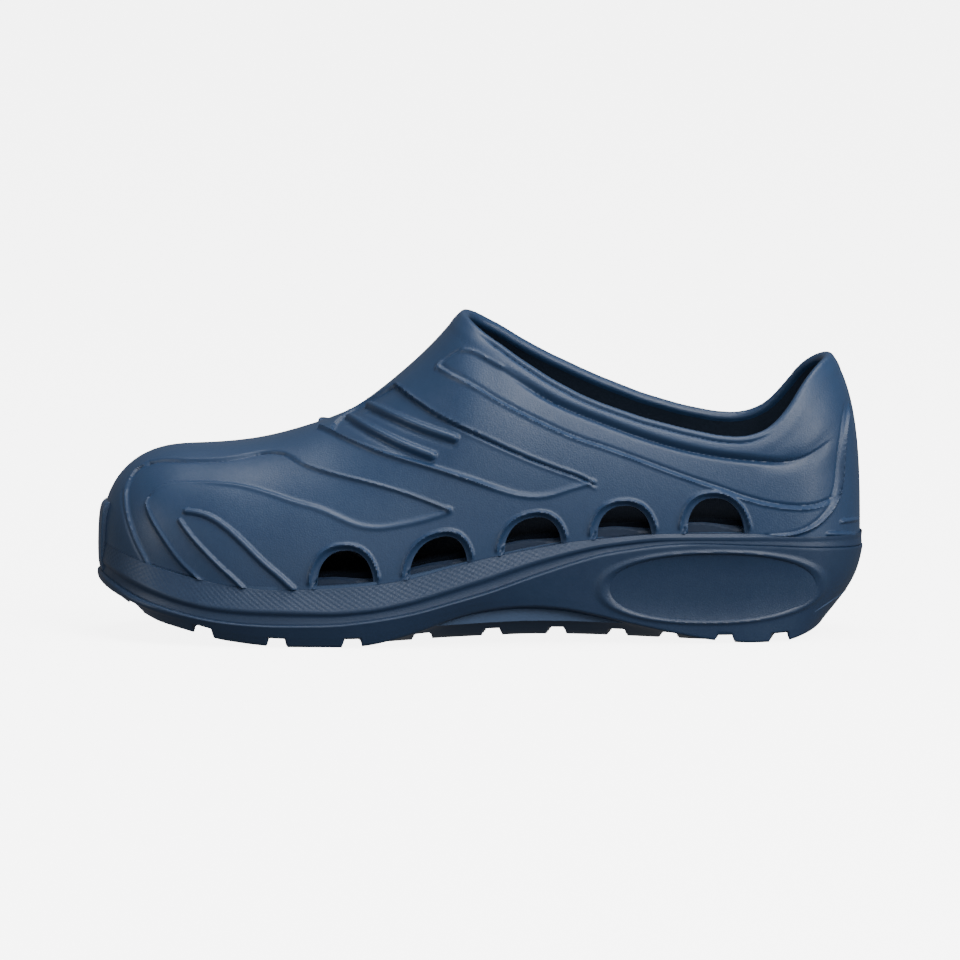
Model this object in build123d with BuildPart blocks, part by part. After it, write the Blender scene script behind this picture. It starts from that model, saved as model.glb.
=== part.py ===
from build123d import *

import os
from math import cos, radians, sin

# Garden clog for the left foot: a closed toe and heel, a low collar, five drain vents a side, and a
# thick ribbed sole with a raised heel.
#
# The toe points to -X, the heel to +X, the outer (lateral) side to -Y and the inner (medial) side to +Y.
# Z is up from the ground, and the origin is the middle of the clog's length and width, on the ground.
# Sizes are in millimetres.
#
# The pieces, from the ground up: the outsole is a cup whose pocket holds the midsole. The foxing band is a
# ring round the midsole, between the outsole's rim and the deck. The upper stands on the deck and holds the
# insole with its cover. The toe bumper, the heel counter and the collar bead lie on the upper's outside.

os.makedirs("parts", exist_ok=True)

# Driving dimensions
LENGTH = 280.0  # toe to heel, over the bumper and the counter
WALL = 4.0  # the upper's thickness
OVERLAY = 1.6  # how far the bumper and the counter stand out of the upper
BEAD = 1.0  # how far the collar bead stands out
BEAD_HEIGHT = 4.5
RAND = 6.0  # the outsole cup's wall and the foxing band's width
SOLE_FLOOR = 6.0  # rubber under the midsole
GROOVE_DEPTH = 1.5  # the shadow line under the foxing band
GROOVE_HEIGHT = 3.0
LUG_HEIGHT = 3.0
LUG_GAP = 6.0
TREAD_GAPS = (-126.3, -100.5, -73.8, -46.4, -21, 4.3, 27.7, 49.7, 68.5, 89, 109)  # x of each gap
SPINE_WIDTH = 26.0  # the tread's middle strip, which no gap crosses
INSOLE_THICKNESS = 5.0
COVER_THICKNESS = 1.0
RIB = 0.4  # how far the heel's kick-off rib passes the sole's edge
RIB_Z = (42.0, 44.0)
RIB_START_X = 131.0
VENT_WIDTH = 19.0
VENT_HEIGHT = 12.0
VENT_PITCH = 33.9
FIRST_VENT_X = -49.3
VENT_SILL = 1.2  # the vent's bottom edge above the deck
PAD_CENTRE = (84.5, 21.0)  # the oval dish in the heel's side
PAD_RADII = (39.5, 13.0)
PAD_DEPTH = 1.5
PAD_THICKNESS = 0.9
REACH = 80.0  # half the width of every cutting block
PLAN_STEPS = 60  # points round the sole's edge
PLAN_TURN = -1  # the edge runs clockwise seen from above, so its inside is on the right
HALF = LENGTH / 2

# Side view: (x, z) points of the curves that run along the clog
BOTTOM = [(-131, 12.5), (-117, 7), (-102, 3.5), (-88, 1)]
BALL = [(-74, 0), (-46, 0)]
ARCH = [(-26, 1), (0, 2.4), (18, 2.9), (38, 2.3), (60, 1)]
HEEL_REST = [(82, 0), (112, 0)]
HEEL_BEVEL = [(121, 3), (130, 10.5), (135.5, 20.5)]
PARTING = [
    (-HALF, 25.5),
    (-125, 17.4),
    (-98, 11.2),
    (-66, 10),
    (-38, 12.2),
    (-10, 18.3),
    (18, 26.6),
    (44, 33.4),
    (72, 37.6),
    (106, 35.8),
    (HALF, 33),
]
DECK = [
    (-HALF, 34),
    (-122, 28.5),
    (-101, 23.6),
    (-70, 21.8),
    (-38, 23.8),
    (-10, 29.6),
    (18, 35.7),
    (44, 39.2),
    (72, 40.6),
    (106, 40.2),
    (HALF, 39),
]
TOPLINE = [(-4.5, 118), (3, 110), (14, 103.2), (36, 92), (60, 83), (84, 76.8), (97, 76.2)]
TOPLINE_HEEL = [(105, 79.4), (113, 87.5), (118, 95), (124, 101), (132, 104)]
TOPLINE_LIFT = 2.5  # the medial side is this much higher at mid collar
COUNTER_EDGE = [(135, 84), (132, 66), (131, 54), (127, 46), (118, 40.5), (108, 39.5)]

# Cross-sections of the upper's outside: x, lateral and medial half widths, crown height, boxiness
STATIONS = [
    (-137.6, 7, 13, 45.5, 0.8),
    (-135.5, 15, 21, 53, 0.8),
    (-131.5, 24, 29, 60, 0.8),
    (-124.5, 33, 36.5, 66.2, 0.8),
    (-113, 40.5, 42.5, 69.6, 0.82),
    (-95, 46, 46.5, 70.4, 0.85),
    (-72, 49.5, 48.8, 73.6, 0.9),
    (-48, 50.5, 48, 82.4, 0.95),
    (-30, 49.8, 46, 93.5, 1),
    (-8, 47, 42.8, 116, 1),
    (14, 44, 39.5, 119.5, 1),
    (44, 39.6, 37, 109, 1),
    (76, 37.4, 36, 101, 1),
    (100, 35.4, 34.6, 105, 1),
    (116, 30, 29.6, 113, 1),
    (126, 22.5, 22.5, 112, 0.95),
    (131.5, 16.5, 16.5, 101.5, 0.95),
    (135.5, 10.5, 10.5, 81, 0.9),
    (138, 5, 5, 60, 0.9),
]
SECTION_FOOT = 10.0  # every section starts this high, under the deck

# Plan view of the sole's edge: (x, y) points from the heel's back round the lateral side to the toe,
# and back along the medial side
SOLE_LATERAL = [
    (HALF, 0),
    (136, -16.5),
    (122, -31.5),
    (100, -39),
    (70, -41.5),
    (36, -44.5),
    (0, -50),
    (-36, -54),
    (-66, -53.4),
    (-98, -48.6),
    (-122, -37),
    (-134, -22),
]
SOLE_MEDIAL = [
    (-HALF, 4),
    (-135, 24),
    (-122, 39),
    (-98, 50),
    (-66, 54),
    (-36, 51.5),
    (0, 45),
    (36, 41),
    (70, 40),
    (100, 38),
    (122, 31),
    (136, 16.5),
]


def shifted(points, dx, dz):
    return [(x + dx, z + dz) for x, z in points]


def height_on(curve, x):
    """Height of a side-view curve's points at x, along straight lines between them."""
    for (x0, z0), (x1, z1) in zip(curve, curve[1:]):
        if x0 <= x <= x1:
            return z0 + (z1 - z0) * (x - x0) / (x1 - x0)
    return curve[-1][1]


def section_points(lateral, medial, crown, boxiness, deck):
    """An arch from the lateral wall over the crown to the medial wall, rounder as boxiness nears 1."""
    arch = []
    for angle in range(0, 181, 20):
        side, up = cos(radians(angle)), sin(radians(angle))
        width = lateral if side > 0 else medial
        y = -width * abs(side) ** boxiness * (1 if side > 0 else -1)
        arch.append((y, deck + (crown - deck) * max(up, 0) ** boxiness))
    return arch


def shoe_form(growth):
    """The closed form of the upper's outside, grown or shrunk all round, with no collar opening yet."""
    with BuildPart() as form:
        for x, lateral, medial, crown, boxiness in STATIONS:
            deck = height_on(DECK, x)
            arch = section_points(lateral + growth, medial + growth, crown + growth, boxiness, deck)
            with BuildSketch(Plane.YZ.offset(x * (1 + growth / HALF))):
                with BuildLine():
                    Line((arch[-1][0], SECTION_FOOT), (arch[0][0], SECTION_FOOT))
                    Line((arch[0][0], SECTION_FOOT), arch[0])
                    Spline(arch, tangents=[(0, 1), (0, -1)])
                    Line(arch[-1], (arch[-1][0], SECTION_FOOT))
                make_face()
        loft()
    return form.part


def run_on(points):
    """A side-view curve with a level end added past the toe and past the heel."""
    return [(-HALF - 12, points[0][1])] + points + [(HALF + 12, points[-1][1])]


def side_band(low, high):
    """A block across the whole width, between two side-view curves, that runs on past the toe and heel."""
    low, high = run_on(low), run_on(high)
    with BuildPart() as band:
        with BuildSketch(Plane.XZ):
            with BuildLine():
                Spline(low)
                Line(low[-1], high[-1])
                Spline(high)
                Line(low[0], high[0])
            make_face()
        extrude(amount=REACH, both=True)
    return band.part


def sole_plan(inset):
    """The sole's plan outline, moved in by inset, as a block that is taller than the sole."""
    points = []
    for step in range(PLAN_STEPS):
        place = step / PLAN_STEPS
        tangent = sole_edge % place
        points.append(sole_edge @ place + Vector(-tangent.Y, tangent.X) * inset * PLAN_TURN)
    with BuildPart() as block:
        with BuildSketch(Plane.XY.offset(-5)):
            with BuildLine():
                Spline(points, periodic=True)
            make_face()
        extrude(amount=65)
    return block.part


def collar_cut(drop=0.0, lead=0.0):
    """Everything over the topline, which is a little higher on the medial side."""
    with BuildPart() as cut:
        for side, lift in ((1, 0.0), (-1, TOPLINE_LIFT)):
            points = TOPLINE[:2] + shifted(TOPLINE[2:], 0, lift) + shifted(TOPLINE_HEEL[:2], 0, lift)
            line = shifted(points + TOPLINE_HEEL[2:], -lead, -drop)
            line[-1] = (line[-1][0] + 4 * lead + 1, line[-1][1])
            start, end = line[0], line[-1]
            with BuildSketch(Plane.XZ):
                with BuildLine():
                    Spline(line)
                    Polyline(end, (end[0] + 20, end[1]), (end[0] + 20, 170), (start[0] - 6, 170), start)
                make_face()
            extrude(amount=side * REACH)
    return cut.part


def vent_cut(x):
    """A D-shaped prism across the clog, with its flat side along the deck."""
    slope = (height_on(DECK, x + 9) - height_on(DECK, x - 9)) / 18
    sill = height_on(DECK, x) + VENT_SILL
    left = (x - VENT_WIDTH / 2, sill - slope * VENT_WIDTH / 2)
    right = (x + VENT_WIDTH / 2, sill + slope * VENT_WIDTH / 2)
    with BuildPart() as vent:
        with BuildSketch(Plane.XZ):
            with BuildLine():
                Line(left, right)
                Spline(right, (x, sill + VENT_HEIGHT), left, tangents=[(0, 1), (0, -1)])
            make_face()
        extrude(amount=REACH, both=True)
    return vent.part


def save(piece, name):
    piece.part.label = name
    export_step(piece.part, f"parts/{name}.step")


sole_edge = Spline(SOLE_LATERAL + SOLE_MEDIAL, periodic=True)

outer_form = shoe_form(0)
inner_form = shoe_form(-WALL)
overlay_form = shoe_form(OVERLAY)
above_deck = side_band(DECK, [(-HALF, 170), (0, 170), (HALF, 170)])

# Upper: the moulded shell that covers the toes, the instep and the heel
with BuildPart() as upper:
    add(outer_form)
    add(inner_form, mode=Mode.SUBTRACT)
    add(above_deck, mode=Mode.INTERSECT)
    add(collar_cut(), mode=Mode.SUBTRACT)
    for index in range(5):
        add(vent_cut(FIRST_VENT_X + index * VENT_PITCH), mode=Mode.SUBTRACT)

# Collar bead: a raised rim on the outside, just under the topline
with BuildPart() as collar_bead:
    add(collar_cut(drop=BEAD_HEIGHT, lead=BEAD_HEIGHT / 2))
    add(collar_cut(), mode=Mode.SUBTRACT)
    add(shoe_form(BEAD), mode=Mode.INTERSECT)
    add(outer_form, mode=Mode.SUBTRACT)

# Toe bumper: a wide strip round the front of the toe
with BuildPart() as toe_bumper:
    add(overlay_form)
    add(outer_form, mode=Mode.SUBTRACT)
    with BuildSketch(Plane.XZ):
        with BuildLine():
            Polyline((-HALF - 5, 25), (-133, 25), (-133, 48), (-134.5, 53), (-HALF - 5, 53), close=True)
        make_face()
    extrude(amount=REACH, both=True, mode=Mode.INTERSECT)
    add(above_deck, mode=Mode.INTERSECT)

# Heel counter: a stiffener up the heel's back, with a rib for the other foot to push the clog off
with BuildPart() as kick_rib:
    add(sole_plan(-RIB))
    with Locations((RIB_START_X + REACH / 2, 0, sum(RIB_Z) / 2)):
        Box(REACH, REACH, RIB_Z[1] - RIB_Z[0], mode=Mode.INTERSECT)
    add(overlay_form, mode=Mode.SUBTRACT)

with BuildPart() as heel_counter:
    add(overlay_form)
    add(outer_form, mode=Mode.SUBTRACT)
    with BuildSketch(Plane.XZ):
        with BuildLine():
            Spline(COUNTER_EDGE)
            Spline(COUNTER_EDGE[-1], (125, 40.2), (HALF + 5, 39))
            Polyline((HALF + 5, 39), (HALF + 5, 84), COUNTER_EDGE[0])
        make_face()
    extrude(amount=REACH, both=True, mode=Mode.INTERSECT)
    add(kick_rib.part)

# Outsole: a cup of solid rubber with a lugged tread and an oval dish in each side of the heel
with BuildPart() as outsole:
    with BuildSketch(Plane.XZ):
        with BuildLine():
            Polyline(PARTING[-1], (HALF + 10, 60), (-HALF - 10, 60), PARTING[0], BOTTOM[0])
            Spline(BOTTOM + BALL[:1], tangents=[(1, -0.45), (1, 0)])
            Line(BALL[0], BALL[1])
            Spline(BALL[1:] + ARCH + HEEL_REST[:1], tangents=[(1, 0), (1, 0)])
            Line(HEEL_REST[0], HEEL_REST[1])
            Spline(HEEL_REST[1:] + HEEL_BEVEL + PARTING[-1:], tangents=[(1, 0), (0, 1)])
        make_face()
    extrude(amount=REACH, both=True)
    add(sole_plan(0), mode=Mode.INTERSECT)
    add(side_band([(-HALF, -5), (0, -5), (HALF, -5)], PARTING), mode=Mode.INTERSECT)

tread_bottom = BOTTOM + BALL + ARCH + HEEL_REST + HEEL_BEVEL[:2]
with BuildPart() as tread_gaps:
    for gap_x in TREAD_GAPS:
        for y in (-REACH / 2, REACH / 2):
            with Locations((gap_x, y, height_on(tread_bottom, gap_x))):
                Box(LUG_GAP, REACH - SPINE_WIDTH, 2 * LUG_HEIGHT)

pocket_floor = shifted(
    [(-HALF + 2, 18), (-110, 8)] + BALL + ARCH + HEEL_REST + [(HALF, 12)], 0, SOLE_FLOOR
)
with BuildPart() as midsole:
    add(side_band(pocket_floor, DECK))
    add(sole_plan(RAND), mode=Mode.INTERSECT)

with BuildPart() as heel_dishes:
    with BuildSketch(Plane.XZ):
        with Locations(PAD_CENTRE):
            Ellipse(PAD_RADII[0], PAD_RADII[1])
    extrude(amount=REACH, both=True)
    add(sole_plan(PAD_DEPTH), mode=Mode.SUBTRACT)

# Heel pads: a thin oval inset in each dish, a little below the sole's side
with BuildPart() as heel_pads:
    add(heel_dishes.part)
    add(sole_plan(PAD_DEPTH - PAD_THICKNESS), mode=Mode.INTERSECT)

with BuildPart() as heel_pad_lateral:
    add(heel_pads.part)
    split(bisect_by=Plane.XZ, keep=Keep.TOP)

with BuildPart() as heel_pad_medial:
    add(heel_pads.part)
    split(bisect_by=Plane.XZ, keep=Keep.BOTTOM)

with BuildPart() as finished_outsole:
    add(outsole.part)
    add(tread_gaps.part, mode=Mode.SUBTRACT)
    add(midsole.part, mode=Mode.SUBTRACT)
    add(heel_dishes.part, mode=Mode.SUBTRACT)

# Foxing band: the ring between the outsole's rim and the deck, with a groove along its foot
with BuildPart() as band_groove:
    add(side_band(shifted(PARTING, 0, -GROOVE_HEIGHT), shifted(PARTING, 0, GROOVE_HEIGHT)))
    add(sole_plan(GROOVE_DEPTH), mode=Mode.SUBTRACT)

with BuildPart() as foxing_band:
    add(side_band(PARTING, DECK))
    add(sole_plan(0), mode=Mode.INTERSECT)
    add(sole_plan(RAND), mode=Mode.SUBTRACT)
    add(band_groove.part, mode=Mode.SUBTRACT)

# Insole: a loose foam footbed that fills the upper's foot, with a woven cover glued on
insole_top = shifted(DECK, 0, INSOLE_THICKNESS)
with BuildPart() as insole:
    add(inner_form)
    add(side_band(DECK, insole_top), mode=Mode.INTERSECT)

with BuildPart() as insole_cover:
    add(inner_form)
    add(side_band(insole_top, shifted(insole_top, 0, COVER_THICKNESS)), mode=Mode.INTERSECT)

save(upper, "upper")
save(collar_bead, "collar_bead")
save(toe_bumper, "toe_bumper")
save(heel_counter, "heel_counter")
save(finished_outsole, "outsole")
save(midsole, "midsole")
save(foxing_band, "foxing_band")
save(heel_pad_lateral, "heel_pad_lateral")
save(heel_pad_medial, "heel_pad_medial")
save(insole, "insole")
save(insole_cover, "insole_cover")
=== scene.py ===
import math

import bpy
import numpy as np
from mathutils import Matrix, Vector
from mathutils.kdtree import KDTree


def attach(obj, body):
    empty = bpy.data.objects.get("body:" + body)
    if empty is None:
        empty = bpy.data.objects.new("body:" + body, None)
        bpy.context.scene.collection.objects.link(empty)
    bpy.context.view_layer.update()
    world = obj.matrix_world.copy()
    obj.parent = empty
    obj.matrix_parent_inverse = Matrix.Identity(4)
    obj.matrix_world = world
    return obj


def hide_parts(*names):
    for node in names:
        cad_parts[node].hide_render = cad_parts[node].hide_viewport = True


# The clog's looks, in millimetres until a mesh is made. The toe is at -X, the heel at +X, the outer
# (lateral) side at -Y. Every piece grows from one ring of columns that runs round the clog: from the toe
# tip along the lateral side to the heel's back, and home along the medial side.

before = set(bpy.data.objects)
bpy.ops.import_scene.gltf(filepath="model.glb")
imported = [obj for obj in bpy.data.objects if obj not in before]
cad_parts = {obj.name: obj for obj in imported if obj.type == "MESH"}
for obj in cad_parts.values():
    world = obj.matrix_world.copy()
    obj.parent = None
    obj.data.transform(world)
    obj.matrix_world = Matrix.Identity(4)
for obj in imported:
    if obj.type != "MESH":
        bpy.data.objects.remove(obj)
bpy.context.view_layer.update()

HALF = 140.0
SIDE_COLUMNS = 580
UPPER_ROWS = 215
WALL = 4.0
SIDE_TILT = math.radians(6)  # the side drawing is made from this far above the ground,
DRAWN_FROM = 6000.0  # this far away,
DRAWN_MIDDLE = 60.67  # with its middle at this height,
AIM_HEIGHT = 60.4  # which looks at this height of the clog,
NEAR_EDGE = 45.0  # and its heights count from the tread's near edge, this far from the clog's middle
STEADY = 17  # neighbouring points of a dropped line that share their depth
EVEN_PASSES = 6  # passes that even out the relief where both sides meet over the ridge


# ---------------------------------------------------------------- curves


def graph(points, blur=4.0, step=0.25):
    """A smooth function through (x, value) points, which goes on at its end slopes for a while."""
    xs, values = np.array(points, float).T
    reach = 4 * blur
    ends = [xs[0] - reach - 60, xs[-1] + reach + 60]
    first = values[0] + (values[1] - values[0]) / (xs[1] - xs[0]) * (ends[0] - xs[0])
    last = values[-1] + (values[-1] - values[-2]) / (xs[-1] - xs[-2]) * (ends[1] - xs[-1])
    fine = np.arange(ends[0], ends[1], step)
    line = np.interp(fine, [ends[0], *xs, ends[1]], [first, *values, last])
    window = np.exp(-0.5 * (np.arange(-reach, reach + step / 2, step) / blur) ** 2)
    padded = np.pad(line, len(window) // 2, mode="edge")
    soft = np.convolve(padded, window / window.sum(), mode="valid")[:len(fine)]
    return lambda x: np.interp(x, fine, soft)


def ease(value, low, high):
    """0 below low, 1 above high, smooth between."""
    t = np.clip((value - low) / (high - low), 0, 1)
    return t * t * (3 - 2 * t)


def along(points, spacing=0.3):
    """A polyline of any dimension, with its corners softened and points added at an even spacing."""
    points = np.array(points, float)
    for _ in range(3):
        cut = np.empty((2 * len(points) - 2, points.shape[1]))
        cut[0::2] = points[:-1] * 0.75 + points[1:] * 0.25
        cut[1::2] = points[:-1] * 0.25 + points[1:] * 0.75
        points = np.vstack([points[:1], cut, points[-1:]])
    length = np.concatenate([[0], np.cumsum(np.linalg.norm(np.diff(points, axis=0), axis=1))])
    places = np.linspace(0, length[-1], max(2, int(length[-1] / spacing)))
    return np.stack([np.interp(places, length, column) for column in points.T], axis=1)


# ---------------------------------------------------------------- the ring of columns

SOLE_LATERAL = [(136, -16.5), (122, -31.5), (100, -39), (70, -41.5), (36, -44.5), (0, -50)]
SOLE_LATERAL += [(-36, -54), (-66, -53.4), (-98, -48.6), (-122, -37), (-134, -22)]
SOLE_MEDIAL = [(-135, 24), (-122, 39), (-98, 50), (-66, 54), (-36, 51.5), (0, 45)]
SOLE_MEDIAL += [(36, 41), (70, 40), (100, 38), (122, 31), (136, 16.5)]
TOE_Y = 4.0

turn_lateral = [(math.acos(-x / HALF), y) for x, y in SOLE_LATERAL]
turn_medial = [(-math.acos(-x / HALF), y) for x, y in SOLE_MEDIAL]
round_clog = sorted([*turn_lateral, *turn_medial, (0.0, TOE_Y), (math.pi, 0.0), (-math.pi, 0.0)])
edge_y = graph(
    [(turn + whole, y) for whole in (-2 * math.pi, 0, 2 * math.pi) for turn, y in round_clog],
    blur=0.075,
    step=0.005,
)


def ring_turns():
    """The turn of every column, evenly spaced along the lateral side and the same on the medial side."""
    fine = np.linspace(0, math.pi, 4001)
    x, y = -HALF * np.cos(fine), edge_y(fine)
    length = np.concatenate([[0], np.cumsum(np.hypot(np.diff(x), np.diff(y)))])
    side = np.interp(np.linspace(0, length[-1], SIDE_COLUMNS + 1), length, fine)
    return np.concatenate([side, -side[-2:0:-1]])


turns = ring_turns()
COLUMNS = len(turns)
mirror = (-np.arange(COLUMNS)) % COLUMNS
edge = np.stack([-HALF * np.cos(turns), edge_y(turns)], axis=1)
edge_along = np.roll(edge, -1, axis=0) - np.roll(edge, 1, axis=0)
edge_along /= np.linalg.norm(edge_along, axis=1, keepdims=True)
inward = np.stack([-edge_along[:, 1], edge_along[:, 0]], axis=1)
ring_length = np.concatenate([[0], np.cumsum(np.linalg.norm(np.diff(edge, axis=0), axis=1))])
at_x = edge[:, 0]


def inset(amount):
    """The sole's edge moved in, in plan."""
    return edge + inward * np.broadcast_to(amount, COLUMNS)[:, None]


# ---------------------------------------------------------------- the upper's form

SEAM_START = [(-140, 34.5), (-122, 28.3), (-109, 25.2), (-97, 22.6), (-78, 20.7), (-58, 21.2), (-38, 22.8)]
SEAM_START += [(-26, 24.4), (-3, 30.9), (8, 33.2), (31, 37.6), (44, 39.0), (64, 40.6)]
seam = graph(SEAM_START + [(100, 40.4), (112, 39.0), (124, 37.0), (140, 36.2)])
deck = graph(SEAM_START + [(100, 40.6), (140, 39.5)])
ledge = graph([(-140, 1.6), (-133, 2.6), (-110, 5.0), (-60, 5.6), (-10, 4.8), (20, 3.6), (45, 2.0),
               (70, 1.4), (110, 1.3), (140, 1.0)])
crown = graph([(-110, 69.2), (-95, 69.5), (-87, 70.2), (-80, 71.2), (-73, 72.9), (-66, 75.0), (-58, 77.6),
               (-51, 80.2), (-44, 84.0), (-37, 88.8), (-29, 95.4), (-22, 101.6), (-15, 108.6), (-11, 113.4),
               (-7, 118.2), (-3, 121.0), (2, 122.0), (10, 121.4), (20, 118.0), (44, 110.0), (70, 104.5),
               (90, 104.0), (105, 108.5), (118, 115.0), (140, 122.0)], blur=3.0)
ridge_x = graph([(-140, -104), (-132, -101.5), (-120, -97.5), (-105, -90.5), (-90, -81), (-72, -68.5),
                 (-56, -55), (-20, -20), (20, 20), (60, 60), (84, 82), (104, 95), (122, 103), (134, 106.5),
                 (140, 108)])
boxy = graph([(-140, 2.35), (-120, 2.35), (-95, 2.3), (-72, 2.15), (-48, 2.05), (-20, 2.0), (60, 2.0),
              (90, 2.05), (110, 2.3), (126, 2.7), (140, 3.0)])
ridge_y = graph([(-140, 4), (-104, 3), (-60, 0.5), (-30, 0), (140, 0)])


def upper_form():
    """The closed form of the upper: a ring of columns that rise from the deck and meet over the ridge."""
    foot = inset(ledge(at_x))
    low = np.column_stack([foot, seam(at_x)])
    top_x = ridge_x(at_x)
    high = np.column_stack([top_x, ridge_y(top_x), crown(top_x)])
    rise = np.linspace(0, math.pi / 2, 260)
    power = 2 / boxy(at_x)[:, None]
    over = 1 - np.cos(rise)[None, :] ** power
    over[:, -1] = 1
    up = np.sin(rise)[None, :] ** power
    lines = np.empty((COLUMNS, len(rise), 3))
    lines[..., :2] = low[:, None, :2] + (high - low)[:, None, :2] * over[..., None]
    lines[..., 2] = low[:, None, 2] + (high - low)[:, None, 2] * up
    steps = np.linalg.norm(np.diff(lines, axis=1), axis=2)
    length = np.concatenate([np.zeros((COLUMNS, 1)), np.cumsum(steps, axis=1)], axis=1)
    form = np.empty((COLUMNS, UPPER_ROWS + 1, 3))
    for column in range(COLUMNS):
        places = np.linspace(0, length[column, -1], UPPER_ROWS + 1)
        for axis in range(3):
            form[column, :, axis] = np.interp(places, length[column], lines[column, :, axis])
    form[:, -1] = (form[:, -1] + form[mirror, -1]) / 2
    return form


def outward(form):
    """Unit normals of a ring of columns, pointing out of the clog."""
    round_ring = np.roll(form, -1, axis=0) - np.roll(form, 1, axis=0)
    up = np.gradient(form, axis=1)
    normal = np.cross(round_ring, up)
    normal /= np.maximum(np.linalg.norm(normal, axis=2, keepdims=True), 1e-9)
    return normal


form = upper_form()
normals = outward(form)
normals[:, -1] = normals[:, -1] + normals[mirror, -1]
normals[:, -1] /= np.linalg.norm(normals[:, -1], axis=1, keepdims=True)

side = slice(0, SIDE_COLUMNS + 1)  # the lateral half of the ring
side_form = form[side]


def drawn(points):
    """Where 3-D points fall in the side drawing: x and height."""
    nearer = DRAWN_FROM / (DRAWN_FROM + points[..., 1])
    height = points[..., 2] * math.cos(SIDE_TILT) + (points[..., 1] + NEAR_EDGE) * math.sin(SIDE_TILT)
    return points[..., 0] * nearer, DRAWN_MIDDLE + (height - AIM_HEIGHT) * nearer


seen_x, seen_height = drawn(side_form)
drawing = KDTree(seen_x.size)
for index, (x, h) in enumerate(zip(seen_x.ravel(), seen_height.ravel())):
    drawing.insert((x, h, 0), index)
drawing.balance()


def on_side(points):
    """Side-drawing points (x, height) dropped onto the lateral side of the form."""
    flat = side_form.reshape(-1, 3)
    found = np.array([drawing.find((x, h, 0))[1] for x, h in points])
    y = flat[found, 1]
    if len(y) > STEADY:
        y = np.convolve(np.pad(y, STEADY // 2, mode="edge"), np.ones(STEADY) / STEADY, mode="valid")
    x, h = np.array(points, float).T
    farther = (DRAWN_FROM + y) / DRAWN_FROM
    height = AIM_HEIGHT + (h - DRAWN_MIDDLE) * farther
    z = (height - (y + NEAR_EDGE) * math.sin(SIDE_TILT)) / math.cos(SIDE_TILT)
    return np.stack([x * farther, y, z], axis=1)


def distance(points, places, limit=12.0):
    """How far each of a grid of places lies from the nearest of some 3-D points."""
    tree = KDTree(len(points))
    for index, point in enumerate(points):
        tree.insert(point, index)
    tree.balance()
    low, high = np.min(points, axis=0) - limit, np.max(points, axis=0) + limit
    near = np.all((places > low) & (places < high), axis=2)
    away = np.full(near.shape, limit)
    away[near] = [tree.find(point)[2] for point in places[near]]
    return np.minimum(away, limit)


def from_line(points, limit):
    """How far each point of the lateral side lies from a line of the side drawing."""
    return distance(along(on_side(along(points))), side_form, limit)


def inside(outline):
    """Which points of the lateral side lie inside a closed outline of the side drawing."""
    x, h = seen_x, seen_height
    within = np.zeros(x.shape, bool)
    for (x0, h0), (x1, h1) in zip(outline, np.roll(outline, -1, axis=0)):
        crosses = (h0 > h) != (h1 > h)
        if h1 != h0:
            within ^= crosses & (x < (x1 - x0) * (h - h0) / (h1 - h0) + x0)
    return within


def depth_in(outline):
    """How far each point of the lateral side lies inside a closed outline, negative outside it."""
    outline = along(outline + outline[:1], 0.8)
    away = distance(along(on_side(outline)), side_form)
    return np.where(inside(outline), away, -away)


def panel(outline, soft):
    """1 inside a closed outline, 0 outside, with a slope of the given half width at its edge."""
    return ease(depth_in(outline), -soft, soft)


def ridge(points, width):
    """A rounded bar, 1 along its middle and 0 at the given half width."""
    return np.clip(1 - (from_line(points, 4 * width) / width) ** 2, 0, 1) ** 0.75


def trace(points, width):
    """A soft line, 1 along its middle."""
    return np.exp(-((from_line(points, 5 * width) / width) ** 2))


# ---------------------------------------------------------------- lines drawn on the upper

COLLAR_GROOVE = [(-1, 111), (8, 102.3), (20.3, 93.7), (29.2, 88.6), (44.2, 82.5), (59.1, 76.9), (74, 72.4),
                 (88.8, 69.4), (103.8, 67.9), (111.3, 67.5), (118.8, 69.1), (125.4, 73.1), (131.4, 78.7),
                 (133.7, 83.9)]
SLIPPER_EDGE = [(-15.4, 102.2), (-13.3, 100.4), (-8.1, 97.8), (-1.1, 94.1), (5.4, 89.9), (17.2, 83.7),
                (26.3, 79.3), (36.6, 74.9), (44.2, 72.7), (59.1, 67.2), (74, 61.5), (86.9, 57.2),
                (96, 53.7), (106.4, 50.9), (117, 49.8), (123.9, 50.6), (129.4, 53.0)]
SLIPPER_FRONT = [(-15.4, 102.4), (-13.5, 104.3), (-10.5, 107.0), (-7.2, 108.3), (-2.6, 107.8), (2.6, 104.9),
                 (8, 101.9)]
WEDGE_TOP = [(-31.4, 96.1), (-24.5, 90.6), (-16.1, 84.8), (-6.9, 80.4), (2.2, 76.2), (14.3, 70.7),
             (26.3, 65.9), (36.6, 62.5), (41.2, 59.8)]
WEDGE_FOOT = [(-58.5, 80), (-46.4, 74.9), (-34.4, 70.2), (-19, 65.8), (-4, 61), (8, 56.7), (17.2, 54.5),
              (25.2, 54.8), (32.2, 57.4), (41.2, 59.8)]
BARS = [[(-41.5, 89.6), (-38, 88.0), (-33, 85.6), (-22.1, 80.6), (-9.4, 76.2)],
        [(-48.6, 85.4), (-45, 83.2), (-40.2, 80.2), (-28.6, 74.2), (-17.6, 69.9)]]
LEAF_TOP = [(-121, 67.4), (-115.9, 68.3), (-103.8, 68), (-94.7, 68.3), (-85.5, 69.8), (-79.7, 71.3),
            (-73.5, 71.3), (-69.8, 69.8), (-66.2, 67.4), (-61.4, 65.3), (-51.2, 62.2), (-45, 60.8),
            (-34.4, 58.1), (-22.1, 54.1), (-11.3, 49.7)]
LEAF_FOOT = [(-11.3, 49.2), (-20.5, 46.2), (-30.7, 44), (-37.8, 43), (-45, 44), (-51.9, 47.1),
             (-58.8, 50.4), (-67.4, 52.6), (-76.5, 55.9), (-85.5, 58.6), (-94.7, 59.8), (-103.8, 60.5),
             (-114, 60.2)]
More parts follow.
